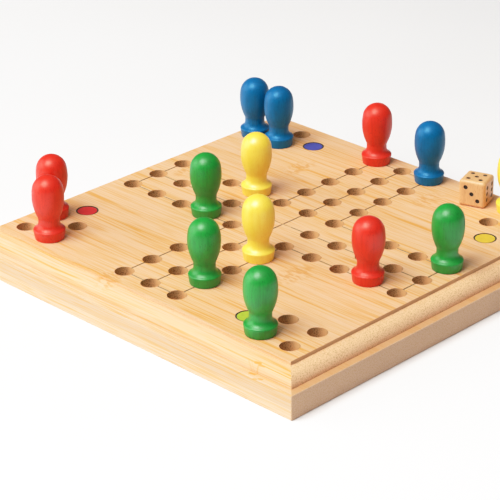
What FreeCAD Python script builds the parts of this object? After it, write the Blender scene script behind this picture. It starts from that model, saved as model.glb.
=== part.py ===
import FreeCAD, Part
import Sketcher
import math
import os
from types import SimpleNamespace

# A ludo board of laminated bamboo with turned wooden pegs, four colour dots and a die.
# Millimetres, +Z up, origin at the centre of the board's underside.
# X runs from the near corner to the right corner, Y from the near corner to the left corner.

driving_sizes = {
    # Board
    "peg_gap": 1.8,  # room left between pegs that stand in neighbouring holes
    "edge_margin": 8.7,  # outermost hole centre to the edge of the top face
    "step_height": 1.6,  # drop from the top face to the quarter round
    "round_radius": 5.8,  # quarter round of the moulded edge
    "ledge_width": 3.5,  # flat ledge outside the quarter round
    "base_height": 10.6,  # upright face below the ledge
    "edge_easing": 0.5,  # rounding of the base's outer edges
    "hole_diameter": 8.2,  # peg holes
    "hole_depth": 8.0,
    "line_width": 0.7,  # engraved lines that join the holes
    "line_depth": 0.3,
    # Colour dots
    "dot_offset": 21.1,  # centre of a yard of four holes to its dot, along the board's edge
    "dot_outset": 1.2,  # the dot lies this much nearer the edge than the yard's centre
    "dot_diameter": 8.4,
    "dot_film": 0.25,  # thickness of the paint
    "dot_sunk": 0.05,  # paint lies this far below the top face
    "dot_ring": 0.5,  # bare burnt ring left round the paint
    # Pegs, as turned, from the seat on the board upwards
    "spigot_clearance": 0.2,  # between the spigot and the hole's wall
    "spigot_end_gap": 1.0,  # between the spigot's end and the hole's floor
    "spigot_chamfer": 0.6,
    "rim_diameter": 13.6,  # crease at the top of the foot, as wide as the head
    "rim_height": 4.25,
    "foot_draft": 0.6,  # the foot draws in by this much from its rim down to the seat
    "shoulder_lean": 48.0,  # degrees from upright at which the shoulder leaves the rim
    "shoulder_radius": 4.0,
    "cove_radius": 3.2,
    "neck_inset": 2.3,  # the neck lies this far inside the rim
    "neck_land": 1.2,  # straight stretch of the neck
    "taper_radius": 20.5,  # head, from the neck out to its widest line
    "cheek_radius": 24.0,  # head, from its widest line in to the crown
    "crown_height": 9.4,  # widest line to the top
    # Die
    "die_side": 12.0,
    "die_rounding": 1.4,
    "die_turn": 18.0,  # degrees about Z
    "pip_diameter": 2.0,
    "pip_spacing": 2.8,  # middle pip to outer pips, both ways
    "pip_depth": 0.6,
    "pip_sunk": 0.25,  # paint lies this far below the die's face
}

# Columns and rows are counted in hole pitches from the centre of the board.
arm_length = 5
yard_near = 4
quarters = 4
die_place = (4.8, -2.9)

peg_places = {
    "green_peg_1": (-5, -4),
    "green_peg_2": (-4, -1),
    "green_peg_3": (-1, 2),
    "green_peg_4": (1, -5),
    "red_peg_1": (-5, 4),
    "red_peg_2": (-4, 5),
    "red_peg_3": (-1, -4),
    "red_peg_4": (5, 1),
    "yellow_peg_1": (-2, -1),
    "yellow_peg_2": (1, 2),
    "yellow_peg_3": (5, -4),
    "yellow_peg_4": (5, -5),
    "blue_peg_1": (4, 4),
    "blue_peg_2": (4, 5),
    "blue_peg_3": (5, -1),
    "blue_peg_4": (4, -5),
}

# Yard direction of each colour and the way from the yard's centre to its dot.
dot_places = {
    "green_dot": ((-1, -1), (0, 1)),
    "yellow_dot": ((1, -1), (-1, 0)),
    "blue_dot": ((1, 1), (0, -1)),
    "red_dot": ((-1, 1), (1, 0)),
}

# Pips on each face of the die as steps of the pip spacing; opposite faces add up to seven.
pip_layouts = {
    1: [(0, 0)],
    2: [(-1, -1), (1, 1)],
    3: [(-1, -1), (0, 0), (1, 1)],
    4: [(-1, -1), (-1, 1), (1, -1), (1, 1)],
    5: [(-1, -1), (-1, 1), (0, 0), (1, -1), (1, 1)],
    6: [(-1, -1), (-1, 0), (-1, 1), (1, -1), (1, 0), (1, 1)],
}
die_faces = {
    5: ("XY_Plane", 1),
    2: ("XY_Plane", -1),
    6: ("XZ_Plane", 1),
    1: ("XZ_Plane", -1),
    4: ("YZ_Plane", 1),
    3: ("YZ_Plane", -1),
}

# Sketcher's numbers for a sketch's own origin and axes and for the points of a curve.
origin_point = (-1, 1)
x_axis = -1
y_axis = -2
start, end, centre = 1, 2, 3
up = FreeCAD.Vector(0, 0, 1)


class Length:
    """A length that carries both its number and the sheet expression that gives it."""

    def __init__(self, number, text):
        self.number = number
        self.text = text

    def __add__(self, other):
        return Length(self.number + other.number, f"({self.text} + {other.text})")

    def __sub__(self, other):
        return Length(self.number - other.number, f"({self.text} - {other.text})")

    def __mul__(self, factor):
        return Length(self.number * factor, f"({self.text} * {factor})")

    def __truediv__(self, factor):
        return Length(self.number / factor, f"({self.text} / {factor})")

    def __neg__(self):
        return Length(-self.number, f"(0 - {self.text})")


doc = FreeCAD.newDocument("ludo_board")
sheet = doc.addObject("Spreadsheet::Sheet", "Sizes")
for line, (alias, number) in enumerate(driving_sizes.items(), start=1):
    sheet.set(f"A{line}", alias.replace("_", " "))
    sheet.set(f"B{line}", str(number))
    sheet.setAlias(f"B{line}", alias)
doc.recompute()

size = SimpleNamespace(**{a: Length(n, f"Sizes.{a}") for a, n in driving_sizes.items()})
nothing = Length(0, "0")
hole_pitch = size.rim_diameter + size.peg_gap
top_half = hole_pitch * arm_length + size.edge_margin
round_half = top_half + size.round_radius
base_half = round_half + size.ledge_width
round_top = size.base_height + size.round_radius
thickness = round_top + size.step_height
yard_centre = hole_pitch * (yard_near + 0.5)
dot_recess = size.dot_film + size.dot_sunk
spigot_length = size.hole_depth - size.spigot_end_gap


def point(x, y):
    return FreeCAD.Vector(x, y, 0)


def sketch_on(body, name, role="XY_Plane", lift=None):
    """An empty sketch on one of the body's own planes, lifted along the plane's normal."""
    plane = next(f for f in body.Origin.OriginFeatures if f.Role == role)
    sketch = body.newObject("Sketcher::SketchObject", name)
    sketch.AttachmentSupport = [(plane, "")]
    sketch.MapMode = "FlatFace"
    if lift is not None:
        sketch.setExpression(".AttachmentOffset.Base.z", lift.text)
    return sketch


def bind(sketch, kind, *places, to):
    """A dimension of the sketch that follows the sheet."""
    index = sketch.addConstraint(Sketcher.Constraint(kind, *places, to.number))
    sketch.setExpression(f"Constraints[{index}]", to.text)


def pin(sketch, geometry, position, x=None, y=None):
    """Fixes a point's signed distances from the sketch's origin."""
    for kind, axis, length in (("DistanceX", y_axis, x), ("DistanceY", x_axis, y)):
        if length is None:
            continue
        here = (geometry, position)
        if length.number == 0:
            sketch.addConstraint(Sketcher.Constraint("PointOnObject", *here, axis))
        elif length.number > 0:
            bind(sketch, kind, *origin_point, *here, to=length)
        else:
            bind(sketch, kind, *here, *origin_point, to=-length)


def outline(sketch, corners):
    """A closed outline of straight edges whose corners are pinned one by one."""
    count = len(corners)
    first = sketch.GeometryCount
    for n, (x, y) in enumerate(corners):
        next_x, next_y = corners[(n + 1) % count]
        a, b = point(x.number, y.number), point(next_x.number, next_y.number)
        sketch.addGeometry(Part.LineSegment(a, b))
    for n, (x, y) in enumerate(corners):
        joined = Sketcher.Constraint("Coincident", first + (n - 1) % count, end, first + n, start)
        sketch.addConstraint(joined)
        pin(sketch, first + n, start, x, y)


def rectangle(sketch, left, right, bottom, top):
    outline(sketch, [(left, bottom), (right, bottom), (right, top), (left, top)])


def circle(sketch, x, y, diameter):
    middle = point(x.number, y.number)
    ring = sketch.addGeometry(Part.Circle(middle, up, diameter.number / 2))
    bind(sketch, "Diameter", ring, to=diameter)
    pin(sketch, ring, centre, x, y)


def pad(body, name, sketch, length):
    feature = body.newObject("PartDesign::Pad", name)
    feature.Profile = sketch
    feature.setExpression("Length", length.text)
    sketch.Visibility = False
    return feature


def pocket(body, name, sketch, depth, reversed_cut=False):
    feature = body.newObject("PartDesign::Pocket", name)
    feature.Profile = sketch
    feature.Reversed = reversed_cut
    feature.setExpression("Length", depth.text)
    sketch.Visibility = False
    return feature


def new_body(label):
    body = doc.addObject("PartDesign::Body", label)
    body.Label = label
    return body


def place(body, x, y, z):
    for axis, length in zip("xyz", (x, y, z)):
        body.setExpression(f".Placement.Base.{axis}", length.text)


def moulded_edge(sketch, side):
    """Cross-section of what the moulding cutter takes off one edge, on the side given by its sign."""
    # The cutter is wider and taller than what it removes.
    reach = base_half + size.ledge_width
    above = thickness + size.step_height
    corners = [
        (round_half * side, size.base_height),
        (reach * side, size.base_height),
        (reach * side, above),
        (top_half * side, above),
        (top_half * side, round_top),
    ]
    first = sketch.GeometryCount
    points = [point(x.number, y.number) for x, y in corners]
    for a, b in zip(points, points[1:]):
        sketch.addGeometry(Part.LineSegment(a, b))
    hub = point(top_half.number * side, size.base_height.number)
    angles = (0, math.pi / 2) if side > 0 else (math.pi / 2, math.pi)
    ring = Part.Circle(hub, up, size.round_radius.number)
    arc = sketch.addGeometry(Part.ArcOfCircle(ring, *angles))
    foot, head = (start, end) if side > 0 else (end, start)
    last = first + len(corners) - 2
    for n in range(first, last):
        sketch.addConstraint(Sketcher.Constraint("Coincident", n, end, n + 1, start))
    sketch.addConstraint(Sketcher.Constraint("Coincident", last, end, arc, head))
    sketch.addConstraint(Sketcher.Constraint("Coincident", arc, foot, first, start))
    for n, (x, y) in enumerate(corners[:-1]):
        pin(sketch, first + n, start, x, y)
    pin(sketch, arc, centre, top_half * side, size.base_height)
    sketch.addConstraint(Sketcher.Constraint("Vertical", last))


def base_edges(shape):
    """Names of the base's upright corners, its bottom edges and the outer edges of its ledge."""
    tolerance = 1e-6
    names = []
    for n, edge in enumerate(shape.Edges, start=1):
        box = edge.BoundBox
        out_by = max(abs(box.Center.x), abs(box.Center.y)) - base_half.number
        level = box.ZLength < tolerance
        on_ledge = abs(box.ZMin - size.base_height.number) < tolerance
        on_floor = abs(box.ZMin) < tolerance
        if abs(out_by) < tolerance and (on_ledge or on_floor or not level):
            names.append(f"Edge{n}")
    return names


def board():
    """The moulded panel with its peg holes, engraved lines and recesses for the dots."""
    body = new_body("board")
    blank = sketch_on(body, "board_blank_outline")
    rectangle(blank, -base_half, base_half, -base_half, base_half)
    pad(body, "board_blank", blank, thickness)

    # The cutter runs past all four edges, so the moulding meets in a mitre at each corner.
    for role in ("XZ_Plane", "YZ_Plane"):
        section = sketch_on(body, f"moulding_section_{role[:2]}", role)
        moulded_edge(section, 1)
        moulded_edge(section, -1)
        cut = pocket(body, f"moulding_{role[:2]}", section, base_half * 2 + size.ledge_width)
        cut.SideType = "Symmetric"
    doc.recompute()

    easing = body.newObject("PartDesign::Fillet", "base_easing")
    easing.Base = (cut, base_edges(cut.Shape))
    easing.setExpression("Radius", size.edge_easing.text)
    doc.recompute()

    # One quarter of the layout, which turns about the centre of the board.
    holes = sketch_on(body, "peg_hole_centres", lift=thickness)
    arm = [(column, -row) for column in (-1, 0, 1) for row in range(1, arm_length + 1)]
    arm.remove((1, -1))
    yard = [(-column, -row) for column in (yard_near, arm_length) for row in (yard_near, arm_length)]
    for column, row in arm + yard:
        circle(holes, hole_pitch * column, hole_pitch * row, size.hole_diameter)
    hole_cut = pocket(body, "peg_holes", holes, size.hole_depth)

    # Each engraved line runs from hole to hole and ends inside the holes.
    lines = sketch_on(body, "engraved_lines_outline", lift=thickness)
    half_line = size.line_width / 2
    inset = size.hole_diameter / 4
    outer_end = inset - hole_pitch * arm_length
    for column in (-1, 0, 1):
        middle = hole_pitch * column
        inner_end = -(hole_pitch + inset) if column else nothing
        rectangle(lines, middle - half_line, middle + half_line, outer_end, inner_end)
    end_row = -hole_pitch * arm_length
    for side in (-1, 1):
        near, far = sorted((inset * side, (hole_pitch - inset) * side), key=lambda n: n.number)
        rectangle(lines, near, far, end_row - half_line, end_row + half_line)
    line_cut = pocket(body, "engraved_lines", lines, size.line_depth)

    dot = sketch_on(body, "dot_recess_outline", lift=thickness)
    recess = size.dot_diameter + size.dot_ring * 2
    circle(dot, -(yard_centre + size.dot_outset), size.dot_offset - yard_centre, recess)
    dot_cut = pocket(body, "dot_recess", dot, dot_recess)

    turns = body.newObject("PartDesign::PolarPattern", "quarter_turns")
    turns.Originals = [hole_cut, line_cut, dot_cut]
    turns.Axis = (holes, ["N_Axis"])
    turns.Angle = 360
    turns.Occurrences = quarters
    body.Tip = turns
    return body


def colour_dot(label, yard, way):
    """A disc of paint on the floor of its recess."""
    body = new_body(label)
    disc = sketch_on(body, f"{label}_outline")
    circle(disc, nothing, nothing, size.dot_diameter)
    pad(body, f"{label}_film", disc, size.dot_film)
    along = [size.dot_offset * step for step in way]
    across = [size.dot_outset * (1 - abs(step)) for step in way]
    x, y = ((yard_centre + across[n]) * yard[n] + along[n] for n in (0, 1))
    place(body, x, y, thickness - dot_recess)
    return body


def peg_profile(sketch):
    """Half-section of a peg: spigot, foot, shoulder, cove, neck, cove, head; Y is up and 0 is the seat."""
    spigot_radius = (size.hole_diameter / 2) - size.spigot_clearance
    rim = size.rim_diameter / 2
    foot, neck = rim - size.foot_draft, rim - size.neck_inset
    rim_z, shoulder, cove = size.rim_height.number, size.shoulder_radius.number, size.cove_radius.number
    taper, cheek, crown = size.taper_radius.number, size.cheek_radius.number, size.crown_height.number

    # Arc centres where neighbouring arcs touch, so that the sketch starts near its solution.
    cove_x = neck.number + cove
    lean = Length(math.radians(size.shoulder_lean.number), size.shoulder_lean.text)
    shoulder_x = rim.number - shoulder * math.cos(lean.number)
    shoulder_z = rim_z - shoulder * math.sin(lean.number)
    low_cove_z = shoulder_z + math.sqrt((cove + shoulder) ** 2 - (cove_x - shoulder_x) ** 2)
    high_cove_z = low_cove_z + size.neck_land.number
    taper_x = rim.number - taper
    widest_z = high_cove_z + math.sqrt((taper + cove) ** 2 - (cove_x - taper_x) ** 2)
    cheek_x = rim.number - cheek
    top_z = widest_z + crown
    dome = (2 * rim.number * cheek - rim.number**2 - crown**2) / (2 * (cheek - crown))
    shoulder_angle = math.atan2(low_cove_z - shoulder_z, cove_x - shoulder_x)
    taper_angle = math.atan2(high_cove_z - widest_z, cove_x - taper_x)
    dome_angle = math.atan2(top_z - dome - widest_z, -cheek_x)

    def arc(x, z, radius, first, last):
        ring = Part.Circle(point(x, z), up, radius)
        return sketch.addGeometry(Part.ArcOfCircle(ring, first, last))

    chamfer = size.spigot_chamfer
    flat_x, side_z = spigot_radius - chamfer, chamfer - spigot_length
    straight = [
        (0, -spigot_length.number),
        (flat_x.number, -spigot_length.number),
        (spigot_radius.number, side_z.number),
        (spigot_radius.number, 0),
        (foot.number, 0),
        (rim.number, rim_z),
    ]
    for a, b in zip(straight, straight[1:]):
        sketch.addGeometry(Part.LineSegment(point(*a), point(*b)))
    tip_edge, chamfer_edge, spigot_side, seat, foot_side = range(len(straight) - 1)
    shoulder_arc = arc(shoulder_x, shoulder_z, shoulder, lean.number, shoulder_angle)
    low_cove = arc(cove_x, low_cove_z, cove, math.pi, math.pi + shoulder_angle)
    neck_points = (point(neck.number, low_cove_z), point(neck.number, high_cove_z))
    neck_side = sketch.addGeometry(Part.LineSegment(*neck_points))
    high_cove = arc(cove_x, high_cove_z, cove, math.pi + taper_angle, math.pi)
    taper_arc = arc(taper_x, widest_z, taper, taper_angle, 0)
    cheek_arc = arc(cheek_x, widest_z, cheek, 0, dome_angle)
    dome_arc = arc(0, top_z - dome, dome, dome_angle, math.pi / 2)
    axis_points = (point(0, top_z), point(*straight[0]))
    axis_edge = sketch.addGeometry(Part.LineSegment(*axis_points))
    spoke_points = (point(shoulder_x, shoulder_z), point(rim.number, rim_z))
    shoulder_spoke = sketch.addGeometry(Part.LineSegment(*spoke_points), True)

    joined = [
        ("Coincident", axis_edge, end, tip_edge, start),
        ("Coincident", tip_edge, end, chamfer_edge, start),
        ("Coincident", chamfer_edge, end, spigot_side, start),
        ("Coincident", spigot_side, end, seat, start),
        ("Coincident", seat, end, foot_side, start),
        ("Coincident", foot_side, end, shoulder_arc, start),
        ("Tangent", shoulder_arc, end, low_cove, end),
        ("Tangent", low_cove, start, neck_side, start),
        ("Tangent", neck_side, end, high_cove, end),
        ("Tangent", high_cove, start, taper_arc, start),
        ("Tangent", taper_arc, end, cheek_arc, start),
        ("Tangent", cheek_arc, end, dome_arc, start),
        ("Coincident", dome_arc, end, axis_edge, start),
        ("PointOnObject", axis_edge, start, y_axis),
        ("PointOnObject", dome_arc, centre, y_axis),
        ("Coincident", shoulder_spoke, start, shoulder_arc, centre),
        ("Coincident", shoulder_spoke, end, shoulder_arc, start),
        ("Horizontal", taper_arc, centre, taper_arc, end),
        ("Equal", low_cove, high_cove),
        ("Vertical", spigot_side),
        ("Vertical", neck_side),
    ]
    for constraint in joined:
        sketch.addConstraint(Sketcher.Constraint(*constraint))
    pin(sketch, tip_edge, start, nothing, -spigot_length)
    pin(sketch, chamfer_edge, start, flat_x, -spigot_length)
    pin(sketch, spigot_side, start, spigot_radius, side_z)
    pin(sketch, seat, start, None, nothing)
    pin(sketch, foot_side, start, foot, nothing)
    pin(sketch, shoulder_arc, start, rim, size.rim_height)
    pin(sketch, neck_side, start, neck)
    pin(sketch, taper_arc, end, rim)
    bind(sketch, "DistanceY", neck_side, start, neck_side, end, to=size.neck_land)
    bind(sketch, "DistanceY", taper_arc, end, dome_arc, end, to=size.crown_height)
    bind(sketch, "Angle", shoulder_spoke, to=lean)
    bind(sketch, "Radius", shoulder_arc, to=size.shoulder_radius)
    bind(sketch, "Radius", low_cove, to=size.cove_radius)
    bind(sketch, "Radius", taper_arc, to=size.taper_radius)
    bind(sketch, "Radius", cheek_arc, to=size.cheek_radius)


def peg(label, column, row):
    """A turned peg that stands in a hole of the board."""
    body = new_body(label)
    section = sketch_on(body, f"{label}_section", "XZ_Plane")
    peg_profile(section)
    turned = body.newObject("PartDesign::Revolution", f"{label}_turned")
    turned.Profile = section
    turned.ReferenceAxis = (section, ["V_Axis"])
    turned.Angle = 360
    section.Visibility = False
    place(body, hole_pitch * column, hole_pitch * row, thickness)
    return body


def set_down_die(body):
    """Puts a body of the die's frame, centred on the die, on the board's top face."""
    column, row = die_place
    place(body, hole_pitch * column, hole_pitch * row, thickness + size.die_side / 2)
    body.Placement.Rotation = FreeCAD.Rotation(up, size.die_turn.number)
    body.setExpression(".Placement.Rotation.Angle", size.die_turn.text)


def pip_sketch(body, count, inset):
    """The pips of one face of the die, on a plane that lies the inset below the face."""
    role, side = die_faces[count]
    height = (size.die_side / 2 - inset) * side
    sketch = sketch_on(body, f"{body.Label}_{count}_outline", role, height)
    for column, row in pip_layouts[count]:
        circle(sketch, size.pip_spacing * column, size.pip_spacing * row, size.pip_diameter)
    return sketch, side


def die():
    """A rounded wooden cube with a shallow round recess for each pip."""
    body = new_body("die")
    half = size.die_side / 2
    square = sketch_on(body, "die_square", lift=-half)
    rectangle(square, -half, half, -half, half)
    cube = pad(body, "die_cube", square, size.die_side)
    doc.recompute()
    rounding = body.newObject("PartDesign::Fillet", "die_rounded")
    rounding.Base = (cube, [f"Edge{n}" for n in range(1, len(cube.Shape.Edges) + 1)])
    rounding.setExpression("Radius", size.die_rounding.text)
    for count in die_faces:
        pips, side = pip_sketch(body, count, nothing)
        pocket(body, f"die_pips_{count}", pips, size.pip_depth, reversed_cut=side < 0)
    set_down_die(body)
    return body


def die_pips():
    """The paint on the floors of the die's recesses."""
    body = new_body("die_pips")
    for count in die_faces:
        pips, side = pip_sketch(body, count, size.pip_depth)
        paint = pad(body, f"pip_paint_{count}", pips, size.pip_depth - size.pip_sunk)
        paint.Reversed = side < 0
    set_down_die(body)
    return body


parts = [board(), die(), die_pips()]
parts += [colour_dot(label, *places) for label, places in dot_places.items()]
parts += [peg(label, *places) for label, places in peg_places.items()]
doc.recompute()

for item in doc.Objects:
    if {"Invalid", "Error"} & set(item.State):
        raise RuntimeError(f"{item.Label} failed: {item.State}")
for part in parts:
    if part.Shape.isNull() or not part.Shape.isValid():
        raise RuntimeError(f"{part.Label} has no valid shape")

os.makedirs("parts", exist_ok=True)
for part in parts:
    part.Shape.exportStep(f"parts/{part.Label}.step")
    box = part.Shape.optimalBoundingBox(False)
    print(
        f"{part.Label}: {len(part.Shape.Solids)} solids, {part.Shape.Volume:.2f} mm3,",
        f"{box.XLength:.2f} x {box.YLength:.2f} x {box.ZLength:.2f} mm from z {box.ZMin:.2f}",
    )
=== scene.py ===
import math
import bpy
import numpy as np
from functools import partial
from mathutils import Matrix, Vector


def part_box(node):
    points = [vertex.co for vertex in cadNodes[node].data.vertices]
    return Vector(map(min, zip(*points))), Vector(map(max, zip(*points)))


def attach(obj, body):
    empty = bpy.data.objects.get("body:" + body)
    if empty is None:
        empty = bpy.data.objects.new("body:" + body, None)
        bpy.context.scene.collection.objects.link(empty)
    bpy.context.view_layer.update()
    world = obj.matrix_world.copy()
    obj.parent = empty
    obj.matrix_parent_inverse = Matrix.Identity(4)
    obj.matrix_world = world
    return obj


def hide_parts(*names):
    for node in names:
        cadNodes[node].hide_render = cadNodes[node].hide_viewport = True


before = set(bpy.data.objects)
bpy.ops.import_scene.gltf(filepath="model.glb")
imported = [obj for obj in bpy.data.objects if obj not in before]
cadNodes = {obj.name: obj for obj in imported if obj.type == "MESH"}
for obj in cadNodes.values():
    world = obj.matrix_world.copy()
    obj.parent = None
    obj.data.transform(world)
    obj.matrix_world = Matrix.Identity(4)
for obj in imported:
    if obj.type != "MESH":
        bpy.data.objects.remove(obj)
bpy.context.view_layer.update()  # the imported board, pegs, dots and die, in metres
mm = 0.001  # sizes below are millimetres
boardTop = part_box("board")[1].z / mm
print("frame loaded,", len(cadNodes), "nodes")


def linear(hexColour):
    # sRGB to linear light: c / 12.92 when dark, ((c + 0.055) / 1.055) ^ 2.4 above
    c = np.array([int(hexColour[i:i + 2], 16) for i in (1, 3, 5)]) / 255
    shade = np.where(c <= 0.04045, c / 12.92, ((c + 0.055) / 1.055) ** 2.4)
    return (*shade.tolist(), 1.0)


def newMaterial(name):
    material = bpy.data.materials.new(name)
    material.use_nodes = True
    material.node_tree.nodes.clear()
    return material, material.node_tree


def addNode(tree, kind, inputs, **settings):
    # one node with its settings; each input is linked to a socket or given a value
    node = tree.nodes.new("ShaderNode" + kind)
    for name, value in settings.items():
        setattr(node, name, value)
    for key, value in inputs.items() if isinstance(inputs, dict) else enumerate(inputs):
        if isinstance(value, bpy.types.NodeSocket):
            tree.links.new(value, node.inputs[key])
        else:
            node.inputs[key].default_value = value
    return node.outputs


def dress(node, material):
    cadNodes[node].data.materials.clear()
    cadNodes[node].data.materials.append(material)


def boxOf(node):
    # lowest corner, highest corner and middle of a CAD node, in millimetres
    low, high = (np.array(corner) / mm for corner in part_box(node))
    return low, high, (low + high) / 2


mixFactor, mixA, mixB, mixed = 0, 6, 7, 2  # sockets of a colour Mix node
toMillimetres = (1 / mm,) * 3
softDetail, grainDetail = 1.0, 2.0  # finer layers in a noise


# Bamboo, flat pressed from strips, sanded and lacquered satin: pale cream with long orange
# fibre streaks, mottled joints of the cane, speckled end grain, and a soft broad sheen, with
# painted light and shade on the edges and in the holes.
bamboo = {
    "cream": "#E8B992",
    "peach": "#E4B07F",  # broad warmer bands
    "streak": "#DE9946",  # bundles of fibres
    "joint": "#D8934B",
    "dab": "#DF9139",
    "sideLitPale": "#E7C3A2",  # paler, greyer cream on the ledge and the upright sides of the long grain: painted light, the washed-out look of the brightly lit -x side, laid on both sides
    "ply": "#D4B08E",  # a little darker on the upper part of the sides' base, up to the ledge
    "fringe": "#CA9565",  # painted shade on the ledge at the foot of the rounded end grain
    "endLitGold": "#FFCEA0",  # end grain on the rounded edge, painted lighter than on the upright sides: painted light, where the edge faces the lamps
    "endPale": "#D4B296",  # end grain on the upright sides
    "endSpeck": "#C3925C",
    "stepShade": "#CA9C70",  # painted shade: darker brown on the upright step just below the top's edge
    "bored": "#ECB77D",
    "boredEndShaded": "#BD915F",  # walls of a hole that cut the fibres across: darker end grain, and painted shade on that side of each hole
    "speck": "#6D4527",
    "char": "#9E8B65",  # engraved lines
    "ring": "#4A4636",  # burnt round each dot
    "stripWidth": 22.0,
    "stripShift": 0.05,  # strips from the centre line to the first glue line
    "stripTone": 0.04,  # lightest to darkest strip
    "stripJump": (70.0, 520.0, 95.0),  # how far the fibres of one strip are from the next's
    "broadSize": (5.0, 120.0),  # across and along the grain
    "bundleSize": (0.85, 50.0),
    "fibreSize": (0.4, 30.0),  # twice as coarse as real fibres, so that they show
    "mottleSize": (1.1, 3.6),
    "speckSize": 0.45,
    "sway": 2.2,  # how far fibres wander sideways
    "swaySize": 60.0,
    "jointSize": 5.0,
    "jointPull": 0.8,  # how far a joint draws the fibres out of line
    "jointCore": 0.4,  # share of a joint's reach where it shows in full
    "dabCore": 0.4,
    "holePitch": 15.4,
    "holeRadius": 4.1,
    "topHalf": 85.7,
    "roundHalf": 91.5,  # where the quarter round meets the ledge
    "stepHeight": 1.6,
    "ledgeHeight": 10.6,
    "upperBaseFloor": 4.6,  # where the darker upper part of the sides' base starts
    "lineDepth": 0.3,
    "ringWidth": 0.7,  # from the paint outwards: the recess and a little of the top
    "skin": 0.05,  # tolerance on the levels above
    "endsTurn": (0.2, 0.5),  # how far a surface looks along the grain, where end grain starts and is full
    "uprightTurn": (0.6, 1.0),  # the same, for the upright end faces
    "tornShadedTurn": (0.1, 0.9),  # the same, for the walls of a hole, spread wide to lay the painted shade across each hole
    "upwardTurn": 0.5,  # a surface that looks up more than this is a floor
    "sideShare": 0.75,  # how much of the sides' tones shows, painted light and shade included
    "sideCalm": 0.4,  # how much weaker the bundles are on the sides
    "roundPale": 0.25,  # how far the painted light on the rounded end grain gives way to the upright sides' tone towards its foot
    "roughness": 0.44,
    "roughFibre": 0.16,  # added along fibres
    "roughRaw": 0.22,  # added on end grain and in cuts
    "reliefDepth": 0.03,
    "reliefBundle": 0.6,  # height of bundles against fibres
    "reliefStrength": 0.5,
    "specular": 0.35,
}
bambooLayers = {  # noise, two of its levels, and how much of the layer shows at each
    "peach": ("broad", 0.38, 0.66, 0.0, 0.65),
    "band": ("broad", 0.36, 0.60, 0.35, 1.0),  # where bundles gather
    "bundle": ("bundle", 0.54, 0.62, 0.0, 1.0),
    "fibre": ("fibre", 0.48, 0.66, 0.0, 0.55),
    "knot": ("mottle", 0.47, 0.57, 0.0, 0.75),
    "speck": ("speck", 0.45, 0.70, 0.0, 0.65),
    "hole": ("speck", 0.50, 0.64, 0.0, 0.7),
}
bambooJoints = [  # centre, then half extents, along x, y and z
    ((-32.0, -36.5, 18.0), (14.0, 7.5, 9.0)),
    ((-85.0, 16.0, 17.0), (8.0, 8.0, 6.0)),
    ((48.0, 36.0, 18.0), (11.0, 6.0, 9.0)),
    ((62.0, -28.0, 18.0), (11.0, 6.0, 9.0)),
    ((12.0, 70.0, 18.0), (11.0, 5.0, 9.0)),
]
bambooDabs = [  # orange fibre ends at a joint in the left side: two points (y, x + z), half width, share
    ((-71.8, -76.0), (-74.0, -75.4), 1.0, 1.0),
    ((-73.8, -76.6), (-76.4, -76.2), 0.6, 0.8),
    ((-71.4, -82.3), (-73.4, -81.8), 0.9, 0.9),
    ((-75.2, -84.6), (-76.4, -84.2), 0.7, 0.7),
    ((-77.0, -83.2), (-78.2, -82.8), 0.7, 0.8),
    ((-68.5, -76.6), (-71.4, -80.8), 0.5, 0.3),
    ((-69.8, -76.0), (-72.4, -80.4), 0.4, 0.2),
    ((-73.6, -76.4), (-74.0, -81.4), 0.5, 0.5),
]


def bambooFibres(add, look, joints, place, acrossStrips):
    # each strip has its own tone and its own stretch of fibres, which sway and bend at joints
    strip = [acrossStrips, 1 / look["stripWidth"], look["stripShift"]]
    strip = add("Math", strip, operation="MULTIPLY_ADD")[0]
    strip = add("Math", [strip], operation="FLOOR")[0]
    chance = add("TexWhiteNoise", {"W": strip}, noise_dimensions="1D")
    jump = [chance["Color"], look["stripJump"], place]
    grainPlace = add("VectorMath", jump, operation="MULTIPLY_ADD")[0]
    near = 0.0  # 1 at a joint, 0 away from all of them
    for centre, extent in joints:
        reach = add("VectorMath", [place, centre], operation="SUBTRACT")[0]
        reach = add("VectorMath", [reach, [1 / e for e in extent]], operation="MULTIPLY")[0]
        reach = add("VectorMath", [reach], operation="LENGTH")["Value"]
        close = {"Value": reach, "From Min": 1.0, "From Max": look["jointCore"]}
        close = add("MapRange", close, interpolation_type="SMOOTHSTEP")[0]
        near = add("Math", [near, close], operation="MAXIMUM")[0]

    noise = {}
    for name in ("sway", "joint", "speck"):
        size = {"Vector": place, "Scale": 1 / look[name + "Size"], "Detail": softDetail}
        noise[name] = add("TexNoise", size)["Fac"]
    pull = add("Math", [noise["joint"], near], operation="MULTIPLY")[0]
    for amount, reach in ((noise["sway"], look["sway"]), (pull, look["jointPull"])):
        grainPlace = [amount, (reach, 0.0, reach), grainPlace]
        grainPlace = add("VectorMath", grainPlace, operation="MULTIPLY_ADD")[0]
    for name in ("broad", "bundle", "fibre", "mottle"):
        across, along = look[name + "Size"]
        stretch = (1 / across, 1 / along, 1 / across)
        origin = place if name == "mottle" else grainPlace
        vector = add("VectorMath", [origin, stretch], operation="MULTIPLY")[0]
        size = {"Vector": vector, "Scale": 1.0, "Detail": grainDetail}
        noise[name] = add("TexNoise", size)["Fac"]
    return chance, noise, near


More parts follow.
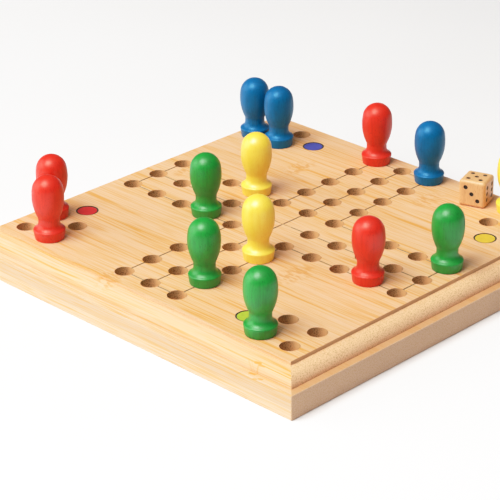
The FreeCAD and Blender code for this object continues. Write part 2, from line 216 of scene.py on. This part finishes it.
def bambooDabShare(add, look, dabs, axes):
    # short strokes on the left side, each full along its middle and gone at its half width
    slope = add("Math", [axes["X"], axes["Z"]], operation="ADD")[0]
    flank = add("CombineXYZ", [axes["Y"], slope, 0.0])[0]
    nearest = 0.0
    for first, last, width, most in dabs:
        run = np.array([*last, 0.0]) - np.array([*first, 0.0])
        offset = add("VectorMath", [flank, (*first, 0.0)], operation="SUBTRACT")[0]
        along = [offset, (run / (run @ run)).tolist()]
        along = add("VectorMath", along, operation="DOT_PRODUCT")["Value"]
        along = add("Clamp", [along])[0]
        along = add("VectorMath", {0: run.tolist(), "Scale": along}, operation="SCALE")[0]
        away = add("VectorMath", [offset, along], operation="DISTANCE")["Value"]
        close = {"Value": away, "From Min": width, "From Max": width * look["dabCore"], "To Max": most}
        close = add("MapRange", close, interpolation_type="SMOOTHSTEP")[0]
        nearest = add("Math", [nearest, close], operation="MAXIMUM")[0]
    return nearest


def bambooMasks(add, look, place, axes, normal):
    # where each finish and each painted light or shade lies, by place on the board and by the way that
    # the surface looks
    mask = {"x": axes["X"], "y": axes["Y"], "z": axes["Z"]}
    facing = add("SeparateXYZ", [normal])
    mask["upwards"] = facing["Z"]
    endways = add("Math", [facing["Y"]], operation="ABSOLUTE")[0]
    for name in ("ends", "upright", "tornShaded"):
        low, high = look[name + "Turn"]
        limits = {"Value": endways, "From Min": low, "From Max": high}
        mask[name] = add("MapRange", limits, interpolation_type="SMOOTHSTEP")[0]

    # distance from the nearest place of the grid of holes, level with the top
    half, allHeights = look["holePitch"] / 2, 1e3
    fromHole = [place, (half, half, allHeights), (-half, -half, -allHeights)]
    fromHole = add("VectorMath", fromHole, operation="WRAP")[0]
    fromHole = add("VectorMath", [fromHole, (1.0, 1.0, 0.0)], operation="MULTIPLY")[0]
    mask["fromHole"] = add("VectorMath", [fromHole], operation="LENGTH")["Value"]

    # distance from the dot, with the board folded on its centre lines and its diagonals
    dotLow, dotHigh, dotMiddle = boxOf("green_dot")
    dotRadius = (dotHigh - dotLow)[0] / 2
    dotLesser, dotGreater = sorted(abs(dotMiddle[:2]))
    spans = add("VectorMath", [place], operation="ABSOLUTE")[0]
    spans = add("SeparateXYZ", [spans])
    mask["spanX"], mask["spanY"] = spans["X"], spans["Y"]
    mask["span"] = add("Math", [spans["X"], spans["Y"]], operation="MAXIMUM")[0]
    lesser = add("Math", [spans["X"], spans["Y"]], operation="MINIMUM")[0]
    fromDot = add("CombineXYZ", [mask["span"], lesser, 0.0])[0]
    fromDot = [fromDot, (dotGreater, dotLesser, 0.0)]
    mask["fromDot"] = add("VectorMath", fromDot, operation="DISTANCE")["Value"]

    skin, sideShare = look["skin"], look["sideShare"]
    recipe = [  # name, operation, then the masks and numbers that it works on
        # long grain on the ledge and the upright sides, paler there as painted light, and a darker band
        # on the upper part of the sides' base
        ("side", "GREATER_THAN", "spanX", look["roundHalf"] - skin),
        ("side", "MULTIPLY", "side", sideShare),
        ("base", "LESS_THAN", "z", look["ledgeHeight"] - skin),
        ("ply", "GREATER_THAN", "z", look["upperBaseFloor"]),
        ("ply", "MULTIPLY", "ply", "base"),
        ("ply", "MULTIPLY", "ply", "side"),
        # end grain, which goes on over the rounded edge as far as the mitre and is painted lighter there
        # as painted light, with painted shade on the ledge below it and on the step below the top's edge
        ("mitre", "MAXIMUM", "spanX", look["topHalf"]),
        ("outside", "GREATER_THAN", "spanY", "mitre"),
        ("ledge", "COMPARE", "z", look["ledgeHeight"], skin),
        ("ledge", "MULTIPLY", "ledge", "outside"),
        ("fringe", "MULTIPLY", "ledge", sideShare),
        ("rounded", "SUBTRACT", "outside", "ledge"),
        ("rounded", "MULTIPLY", "rounded", sideShare),
        ("ends", "MAXIMUM", "ends", "rounded"),
        ("pale", "MULTIPLY", "upright", look["roundPale"]),
        ("pale", "MAXIMUM", "pale", "base"),
        # painted shade on the upright step below the top's edge
        ("rubbed", "GREATER_THAN", "z", boardTop - look["stepHeight"]),
        ("rubbed", "MULTIPLY", "rubbed", "upright"),
        # what is cut into the top: bored holes and burnt lines
        ("inside", "LESS_THAN", "span", look["topHalf"] - skin),
        ("cut", "LESS_THAN", "z", boardTop - skin),
        ("cut", "MULTIPLY", "cut", "inside"),
        ("upward", "GREATER_THAN", "upwards", look["upwardTurn"]),
        ("lineFloor", "COMPARE", "z", boardTop - look["lineDepth"], skin),
        ("lineFloor", "MULTIPLY", "lineFloor", "upward"),
        ("burnt", "GREATER_THAN", "fromHole", look["holeRadius"] + skin),
        ("burnt", "MAXIMUM", "burnt", "lineFloor"),
        ("burnt", "MULTIPLY", "burnt", "cut"),
        ("bored", "SUBTRACT", "cut", "burnt"),
        # a burnt ring round each dot: the dots follow each other by quarter turns, so the four
        # mirrored places, where x y (|x| - |y|) is below zero, have none
        ("ring", "LESS_THAN", "fromDot", dotRadius + look["ringWidth"]),
        ("ring", "MULTIPLY", "ring", "inside"),
        ("wider", "SUBTRACT", "spanX", "spanY"),
        ("handed", "MULTIPLY", "x", "y"),
        ("handed", "MULTIPLY", "handed", "wider"),
        ("handed", "GREATER_THAN", "handed", 0.0),
        ("ring", "MULTIPLY", "ring", "handed"),
    ]
    for name, operation, *terms in recipe:
        terms = [mask[term] if isinstance(term, str) else term for term in terms]
        mask[name] = add("Math", terms, operation=operation)[0]
    return mask


def bambooPanel(look, layers, joints, dabs):
    material, tree = newMaterial("BambooPressedSatinLacquer")
    add = partial(addNode, tree)
    coords = add("TexCoord", [])
    place = add("VectorMath", [coords["Object"], toMillimetres], operation="MULTIPLY")[0]
    axes = add("SeparateXYZ", [place])
    chance, noise, near = bambooFibres(add, look, joints, place, axes["X"])
    mask = bambooMasks(add, look, place, axes, coords["Normal"])

    # how strongly each layer shows, as a smooth step between two levels of its noise
    share = {"dab": bambooDabShare(add, look, dabs, axes)}
    for name, (source, low, high, least, most) in layers.items():
        limits = {"Value": noise[source], "From Min": low, "From Max": high}
        limits.update({"To Min": least, "To Max": most})
        share[name] = add("MapRange", limits, interpolation_type="SMOOTHSTEP")[0]
    calm = add("Math", [mask["side"], -look["sideCalm"], 1.0], operation="MULTIPLY_ADD")[0]
    weights = [("bundle", share["band"]), ("bundle", calm), ("knot", near), ("hole", mask["tornShaded"])]
    for name, weight in weights:
        share[name] = add("Math", [share[name], weight], operation="MULTIPLY")[0]

    # each coat goes from the tone below it to its own as its factor goes from 0 to 1
    tones = {name: linear(value) for name, value in look.items() if str(value).startswith("#")}
    coats = [  # name of the result, factor, tone below, own tone
        # painted light: the end grain lighter on the rounded edge than on the upright sides
        ("endWood", mask["pale"], "endLitGold", "endPale"),
        ("endWood", share["speck"], "endWood", "endSpeck"),
        # painted shade and end grain: hole walls that face along the grain are darker and speckled
        ("holeWood", mask["tornShaded"], "bored", "boredEndShaded"),
        ("holeWood", share["hole"], "holeWood", "speck"),
        ("wood", share["peach"], "cream", "peach"),
        # painted light: the long-grain sides paler, as if brightly lit
        ("wood", mask["side"], "wood", "sideLitPale"),
        ("wood", mask["ply"], "wood", "ply"),
        ("wood", share["bundle"], "wood", "streak"),
        ("wood", share["fibre"], "wood", "streak"),
        ("wood", share["knot"], "wood", "joint"),
        ("wood", share["dab"], "wood", "dab"),
        # painted shade on the ledge below the rounded end grain
        ("wood", mask["fringe"], "wood", "fringe"),
        ("wood", mask["ends"], "wood", "endWood"),
        # painted shade on the step below the top's edge
        ("wood", mask["rubbed"], "wood", "stepShade"),
        ("wood", mask["bored"], "wood", "holeWood"),
        ("wood", mask["burnt"], "wood", "char"),
        ("wood", mask["ring"], "wood", "ring"),
    ]
    for name, factor, below, own in coats:
        coat = {mixFactor: factor, mixA: tones[below], mixB: tones[own]}
        tones[name] = add("Mix", coat, data_type="RGBA")[mixed]
    stripTone = [chance["Value"], look["stripTone"], 1 - look["stripTone"] / 2]
    stripTone = add("Math", stripTone, operation="MULTIPLY_ADD")[0]
    wood = {0: tones["wood"], "Scale": stripTone}
    wood = add("VectorMath", wood, operation="SCALE")[0]

    rawWood = add("Math", [mask["ends"], mask["cut"]], operation="MAXIMUM")[0]
    rough = [noise["fibre"], look["roughFibre"], look["roughness"]]
    rough = add("Math", rough, operation="MULTIPLY_ADD")[0]
    rough = add("Math", [rawWood, look["roughRaw"], rough], operation="MULTIPLY_ADD")[0]
    relief = [noise["bundle"], look["reliefBundle"], noise["fibre"]]
    relief = add("Math", relief, operation="MULTIPLY_ADD")[0]
    relief = add("Math", [share["speck"], rawWood, relief], operation="MULTIPLY_ADD")[0]
    bump = {"Height": relief, "Strength": look["reliefStrength"], "Distance": look["reliefDepth"] * mm}
    normal = add("Bump", bump)[0]
    surface = {"Base Color": wood, "Roughness": rough, "Normal": normal}
    surface["Specular IOR Level"] = look["specular"]
    shader = add("BsdfPrincipled", surface)[0]
    add("OutputMaterial", {"Surface": shader})
    return material


dress("board", bambooPanel(bamboo, bambooLayers, bambooJoints, bambooDabs))
print("bamboo board dressed")


# Dyed and lacquered beech, turned: an even strong colour, darker pores that follow the grain
# up the peg, faint tool rings, and a satin gloss with soft round highlights.
pegLacquers = {
    "green": {"colour": "#0C9230", "deep": "#046E24", "sheen": "#FFFFFF", "ior": 1.55},
    "red": {"colour": "#E02918", "deep": "#BC160C", "sheen": "#FFF2DC", "ior": 1.52},
    "yellow": {"colour": "#FFDE48", "deep": "#FACE30", "sheen": "#FFFFFF", "ior": 1.75},
    "blue": {"colour": "#006198", "deep": "#004976", "sheen": "#8CDCFF", "ior": 1.62},
}
beech = {
    "grainSize": (0.8, 13.0),  # across and along the grain
    "poreSize": (0.3, 1.4),  # coarser than real pores, so that they show
    "cloudSize": 6.0,
    "layers": {  # two levels of a noise, and how much of the deep tone it brings
        "grain": (0.45, 0.72, 0.38),
        "cloud": (0.40, 0.70, 0.25),
        "pore": (0.57, 0.70, 0.95),
    },
    "ringPitch": 0.6,
    "ringHeight": 0.08,  # of the tool rings, against the grain's relief
    "poreDepth": 0.8,
    "reliefDepth": 0.03,
    "reliefStrength": 0.5,
    "roughness": 0.31,
    "roughGrain": 0.10,  # added along the grain
}


def finishedBeech(name, tones, look):
    material, tree = newMaterial(name)
    add = partial(addNode, tree)
    coords = add("TexCoord", [])
    place = add("VectorMath", [coords["Object"], toMillimetres], operation="MULTIPLY")[0]
    noise = {}
    for layer in ("grain", "pore"):
        across, along = look[layer + "Size"]
        stretch = (1 / across, 1 / across, 1 / along)
        vector = add("VectorMath", [place, stretch], operation="MULTIPLY")[0]
        size = {"Vector": vector, "Scale": 1.0, "Detail": grainDetail}
        noise[layer] = add("TexNoise", size)["Fac"]
    size = {"Vector": place, "Scale": 1 / look["cloudSize"], "Detail": softDetail}
    noise["cloud"] = add("TexNoise", size)["Fac"]

    # how strongly each layer darkens the wood, as a smooth step between two levels of its noise
    share = {}
    for layer, (low, high, most) in look["layers"].items():
        limits = {"Value": noise[layer], "From Min": low, "From Max": high, "To Max": most}
        share[layer] = add("MapRange", limits, interpolation_type="SMOOTHSTEP")[0]
    shade = add("Math", [share["grain"], share["cloud"]], operation="ADD")[0]
    shade = add("Math", [shade, share["pore"]], operation="MAXIMUM")[0]
    wood = {mixFactor: shade, mixA: linear(tones["colour"]), mixB: linear(tones["deep"])}
    wood = add("Mix", wood, data_type="RGBA")[mixed]

    height = add("SeparateXYZ", [place])["Z"]
    rings = add("Math", [height, 2 * math.pi / look["ringPitch"]], operation="MULTIPLY")[0]
    rings = add("Math", [rings], operation="SINE")[0]
    relief = [share["pore"], -look["poreDepth"], noise["grain"]]
    relief = add("Math", relief, operation="MULTIPLY_ADD")[0]
    relief = add("Math", [rings, look["ringHeight"], relief], operation="MULTIPLY_ADD")[0]
    bump = {"Height": relief, "Strength": look["reliefStrength"], "Distance": look["reliefDepth"] * mm}
    normal = add("Bump", bump)[0]
    rough = [noise["grain"], look["roughGrain"], look["roughness"]]
    rough = add("Math", rough, operation="MULTIPLY_ADD")[0]
    surface = {"Base Color": wood, "Roughness": rough, "Normal": normal, "IOR": tones["ior"]}
    surface["Specular Tint"] = linear(tones["sheen"])
    shader = add("BsdfPrincipled", surface)[0]
    add("OutputMaterial", {"Surface": shader})
    return material


def arc(centre, radius, first, last, count):
    # circle about a centre: (x + r cos a, z + r sin a) for the angle a from first to last
    a = np.linspace(first, last, count)
    return np.stack([centre[0] + radius * np.cos(a), centre[1] + radius * np.sin(a)], axis=1)


def lathe(outline, segments):
    # turned surface: point (r cos t, r sin t, z) for each (r, z) of the outline and turn t;
    # the outline starts and ends on the axis, where its one point is a pole
    turn = np.arange(segments) * 2 * math.pi / segments
    r, z = outline[1:-1, 0, None], outline[1:-1, 1, None]
    rings = np.stack([r * np.cos(turn), r * np.sin(turn), z + 0 * turn], axis=2).reshape(-1, 3)
    poles = np.array([[0, 0, outline[0, 1]], [0, 0, outline[-1, 1]]])
    rows = len(outline) - 2
    index = np.arange(rows * segments).reshape(rows, segments)
    across = np.roll(index, -1, axis=1)
    quads = np.stack([index[:-1], across[:-1], across[1:], index[1:]], axis=2).reshape(-1, 4)
    bottom, top = rows * segments, rows * segments + 1
    low = np.stack([np.full(segments, bottom), across[0], index[0]], axis=1)
    high = np.stack([np.full(segments, top), index[-1], across[-1]], axis=1)
    return np.concatenate([rings, poles]), quads.tolist() + low.tolist() + high.tolist()


def addPiece(name, points, faces, material, sharpAngle):
    mesh = bpy.data.meshes.new(name)
    mesh.from_pydata(points * mm, [], faces)
    mesh.polygons.foreach_set("use_smooth", np.ones(len(faces), bool))
    mesh.set_sharp_from_angle(angle=math.radians(sharpAngle))
    mesh.materials.append(material)
    piece = bpy.data.objects.new(name, mesh)
    bpy.context.scene.collection.objects.link(piece)
    return piece


pegTurning = {
    "spigotRadius": 3.9,
    "spigotChamfer": 0.6,
    "footDraft": 0.6,  # the foot draws in this much from its rim down to the seat
    "footRounding": 0.5,
    "rimHeight": 4.25,
    "rimRounding": 0.7,  # the crease at the top of the foot, sanded soft
    "shoulderLean": 48.0,  # degrees from upright at which the shoulder leaves the rim
    "shoulderRadius": 4.0,
    "coveRadius": 3.2,
    "neckInset": 2.3,  # the neck lies this far inside the rim
    "neckLand": 1.2,
    "taperRadius": 20.5,
    "cheekRadius": 24.0,
    "crownHeight": 9.4,
    "segments": 96,
    "footPoints": 6,  # along each arc of the outline
    "rimPoints": 8,
    "shoulderPoints": 8,
    "lowCovePoints": 14,
    "highCovePoints": 8,
    "taperPoints": 18,
    "cheekPoints": 10,
    "domePoints": 22,
    "sharpAngle": 40,
}


def pegOutline(peg, rim, spigotLength):
    # arcs that run into each other: two touch from outside where their centres lie the sum
    # of the radii apart, and from inside where they lie the difference apart
    foot, neck = rim - peg["footDraft"], rim - peg["neckInset"]
    shoulder, cove = peg["shoulderRadius"], peg["coveRadius"]
    taper, cheek = peg["taperRadius"], peg["cheekRadius"]
    flare = math.atan2(peg["footDraft"], peg["rimHeight"])
    ease, soft = peg["footRounding"], peg["rimRounding"]
    easeX = foot + ease * math.tan(flare) - ease / math.cos(flare)
    lean = math.radians(peg["shoulderLean"])
    shoulderX = rim - shoulder * math.cos(lean)
    shoulderZ = peg["rimHeight"] - shoulder * math.sin(lean)
    # the softened crease touches the flared foot and, from inside, the shoulder
    softTurn = math.acos((shoulder * math.cos(lean + flare) - soft) / (shoulder - soft)) - flare
    softX = shoulderX + (shoulder - soft) * math.cos(softTurn)
    softZ = shoulderZ + (shoulder - soft) * math.sin(softTurn)
    coveX = neck + cove
    coveTurn = math.acos((coveX - shoulderX) / (shoulder + cove))
    lowCove = shoulderZ + (shoulder + cove) * math.sin(coveTurn)
    highCove = lowCove + peg["neckLand"]
    taperX = rim - taper
    taperTurn = math.acos((coveX - taperX) / (taper + cove))
    widest = highCove + (taper + cove) * math.sin(taperTurn)
    cheekX, crown = rim - cheek, peg["crownHeight"]
    dome = (cheek ** 2 - cheekX ** 2 - crown ** 2) / (2 * (cheek - crown))
    domeTurn = math.atan2(crown - dome, -cheekX)
    spigot, chamfer = peg["spigotRadius"], peg["spigotChamfer"]
    tip = [(0, -spigotLength), (spigot - chamfer, -spigotLength)]
    outline = np.concatenate([
        tip + [(spigot, chamfer - spigotLength), (spigot, 0)],
        arc((easeX, ease), ease, -math.pi / 2, -flare, peg["footPoints"]),
        arc((softX, softZ), soft, -flare, softTurn, peg["rimPoints"]),
        arc((shoulderX, shoulderZ), shoulder, softTurn, coveTurn, peg["shoulderPoints"])[1:],
        arc((coveX, lowCove), cove, math.pi + coveTurn, math.pi, peg["lowCovePoints"])[1:],
        arc((coveX, highCove), cove, math.pi, math.pi - taperTurn, peg["highCovePoints"]),
        arc((taperX, widest), taper, -taperTurn, 0, peg["taperPoints"])[1:],
        arc((cheekX, widest), cheek, 0, domeTurn, peg["cheekPoints"])[1:],
        arc((0, widest + crown - dome), dome, domeTurn, math.pi / 2, peg["domePoints"])[1:],
    ])
    outline[-1, 0] = 0
    return outline


pegNodes = [name for name in cadNodes if "_peg_" in name]
lacquers = {}
for colourName, tones in pegLacquers.items():
    lacquers[colourName] = finishedBeech("BeechTurnedLacquer" + colourName.capitalize(), tones, beech)
for node in pegNodes:
    low, high, middle = boxOf(node)
    outline = pegOutline(pegTurning, (high[0] - low[0]) / 2, boardTop - low[2])
    points, faces = lathe(outline, pegTurning["segments"])
    seat = np.array([*middle[:2], boardTop])
    colourName = node.split("_")[0]
    peg = addPiece(node + "_turned", points + seat, faces, lacquers[colourName], pegTurning["sharpAngle"])
    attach(peg, node)
    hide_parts(node)
print(len(pegNodes), "pegs turned")


# Matt acrylic paint, dabbed into a burnt ring: flat colour with faint clouding.
dotPaints = {"green": "#A1B732", "red": "#CD2729", "yellow": "#D9B334", "blue": "#474BA0"}
dotFilm = {
    "edge": 0.12,
    "dish": 0.05,
    "segments": 64,
    "rings": 12,
    "edgePoints": 6,
    "cloudSize": 1.6,
    "sharpAngle": 50,
}
paintCoat = {
    "cloudLevels": (0.3, 0.7),
    "toneRange": (0.90, 1.06),  # darkest and lightest clouds
    "cloudDetail": 3.0,
    "roughness": 0.55,
    "reliefDepth": 0.03,
    "reliefStrength": 0.4,
}


def mattPaint(name, colour, cloudSize, coat):
    material, tree = newMaterial(name)
    add = partial(addNode, tree)
    coords = add("TexCoord", [])
    cloud = {"Vector": coords["Object"], "Scale": 1 / (cloudSize * mm), "Detail": coat["cloudDetail"]}
    cloud = add("TexNoise", cloud)["Fac"]
    (low, high), (dark, light) = coat["cloudLevels"], coat["toneRange"]
    limits = {"Value": cloud, "From Min": low, "From Max": high, "To Min": dark, "To Max": light}
    tone = add("MapRange", limits)[0]
    tint = add("VectorMath", {0: linear(colour)[:3], "Scale": tone}, operation="SCALE")[0]
    bump = {"Height": cloud, "Strength": coat["reliefStrength"], "Distance": coat["reliefDepth"] * mm}
    normal = add("Bump", bump)[0]
    surface = {"Base Color": tint, "Roughness": coat["roughness"], "Normal": normal}
    shader = add("BsdfPrincipled", surface)[0]
    add("OutputMaterial", {"Surface": shader})
    return material


def paintFilm(radius, thickness, film):
    # a disc of paint: flat below, rounded at its edge, and dished above by dish * (1 - (r / R)^4)
    edge = film["edge"]
    rim = arc((radius - edge, thickness - edge), edge, 0, math.pi / 2, film["edgePoints"])
    r = np.linspace(radius - edge, 0, film["rings"])[1:]
    dish = film["dish"] * (1 - (r / (radius - edge)) ** 4)
    top = np.stack([r, thickness - dish], axis=1)
    return np.concatenate([[(0, 0), (radius - edge, 0), (radius, edge)], rim, top])


for colourName, colour in dotPaints.items():
    node = colourName + "_dot"
    low, high, middle = boxOf(node)
    outline = paintFilm((high[0] - low[0]) / 2, high[2] - low[2], dotFilm)
    points, faces = lathe(outline, dotFilm["segments"])
    place = np.array([*middle[:2], low[2]])
    paintName = "AcrylicDotPaint" + colourName.capitalize()
    paint = mattPaint(paintName, colour, dotFilm["cloudSize"], paintCoat)
    dot = addPiece(node + "_film", points + place, faces, paint, dotFilm["sharpAngle"])
    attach(dot, "board")
    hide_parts(node)
print("colour dots painted")


# Sanded beech of the die, pale with fine grain, and the matt black paint of its pips.
die = {
    "wood": {"colour": "#E3B17E", "deep": "#CA935E", "sheen": "#FFFFFF", "ior": 1.5},
    "pipBlack": "#1E1A17",
    "pipCloudSize": 0.8,
}
dress("die", finishedBeech("BeechSandedNatural", die["wood"], beech))
dress("die_pips", mattPaint("PipPaintMattBlack", die["pipBlack"], die["pipCloudSize"], paintCoat))
print("die dressed")


# Floor: a wide sheet of uncoated white paper, an even bright white with hardly any sheen.
stage = {"half": 4000.0, "drop": 0.05, "white": "#FCFCFC", "cloudSize": 900.0, "sharpAngle": 30}
corners = np.array([(-1, -1, 0), (1, -1, 0), (1, 1, 0), (-1, 1, 0)]) * stage["half"]
paper = mattPaint("PaperUncoatedWhite", stage["white"], stage["cloudSize"], paintCoat)
floor = addPiece("floor", corners - (0, 0, stage["drop"]), [(0, 1, 2, 3)], paper, stage["sharpAngle"])
print("floor laid")


# Light: a soft box high on the left, a wide ceiling, a low broad window on the left, and a warm
# dim room. Sizes and distances here are metres, and a light's level is about the share of full
# white that it gives a white card that faces it.
lights = {
    "softBox": {"towards": (-0.46, 0.04, 0.88), "distance": 1.5, "size": (0.85, 0.85), "level": 1.21},
    "ceiling": {"towards": (-0.22, -0.18, 0.96), "distance": 2.5, "size": (3.6, 3.6), "level": 0.29},
    "window": {"towards": (-0.62, 0.70, 0.36), "distance": 2.2, "size": (2.4, 1.4), "level": 0.63},
}
room = {"level": 0.17, "tint": "#FFF0E0"}


def turned(side, rise, back, place):
    # a placing from its three axes and its place
    pose = Matrix(np.column_stack([side, rise, back]).tolist()).to_4x4()
    pose.translation = place
    return pose


for name, lamp in lights.items():
    light = bpy.data.lights.new(name, "AREA")
    light.energy = lamp["level"] * math.pi ** 2 * lamp["distance"] ** 2
    light.shape = "RECTANGLE"
    light.size, light.size_y = lamp["size"]
    back = np.array(lamp["towards"]) / np.linalg.norm(lamp["towards"])
    side = np.cross((0, 0, 1), back)
    side = side / np.linalg.norm(side)
    holder = bpy.data.objects.new(name, light)
    holder.matrix_world = turned(side, np.cross(back, side), back, back * lamp["distance"])
    bpy.context.scene.collection.objects.link(holder)
world = bpy.data.worlds.new("room")
bpy.context.scene.world = world
world.use_nodes = True
background = world.node_tree.nodes["Background"]
background.inputs["Color"].default_value = linear(room["tint"])
background.inputs["Strength"].default_value = room["level"]
print("lights set")


# Film: tones stay as they are up to 0.45, and above that ease into white at the white point.
film = {
    "whitePoint": 1.45,
    "tones": [(0.15, 0.15), (0.3, 0.3), (0.45, 0.45), (0.7, 0.665), (1.0, 0.85), (1.2, 0.945)],
    "allColours": 3,  # the curve after those of red, green and blue
}
picture = bpy.context.scene.view_settings
picture.view_transform = "Standard"
picture.use_curve_mapping = True
curves = picture.curve_mapping
curves.white_level = (film["whitePoint"],) * 3
for bright, shown in film["tones"]:
    curves.curves[film["allColours"]].points.new(bright / film["whitePoint"], shown)
curves.update()
print("film set")


# Camera: where the photograph was taken from, by its hole grid.
view = {
    "aim": (-27.76, -7.53, 18.0),
    "distance": 885.56,
    "azimuth": 44.66,  # of the looking direction, from +x towards +y
    "elevation": 25.75,
    "roll": -0.42,
    "lens": 154.27,
    "sensor": 36.0,
}
around, down, roll = (math.radians(view[k]) for k in ("azimuth", "elevation", "roll"))
flat = math.cos(down)
gaze = np.array([flat * math.cos(around), flat * math.sin(around), -math.sin(down)])
level = np.cross(gaze, (0, 0, 1))
level = level / np.linalg.norm(level)
rise = np.cross(level, gaze)
right = math.cos(roll) * level + math.sin(roll) * rise
up = math.cos(roll) * rise - math.sin(roll) * level
cameraData = bpy.data.cameras.new("camera")
cameraData.lens = view["lens"]
cameraData.sensor_width = view["sensor"]
camera = bpy.data.objects.new("camera", cameraData)
camera.matrix_world = turned(right, up, -gaze, (np.array(view["aim"]) - gaze * view["distance"]) * mm)
bpy.context.scene.collection.objects.link(camera)
bpy.context.scene.camera = camera
print("camera set")
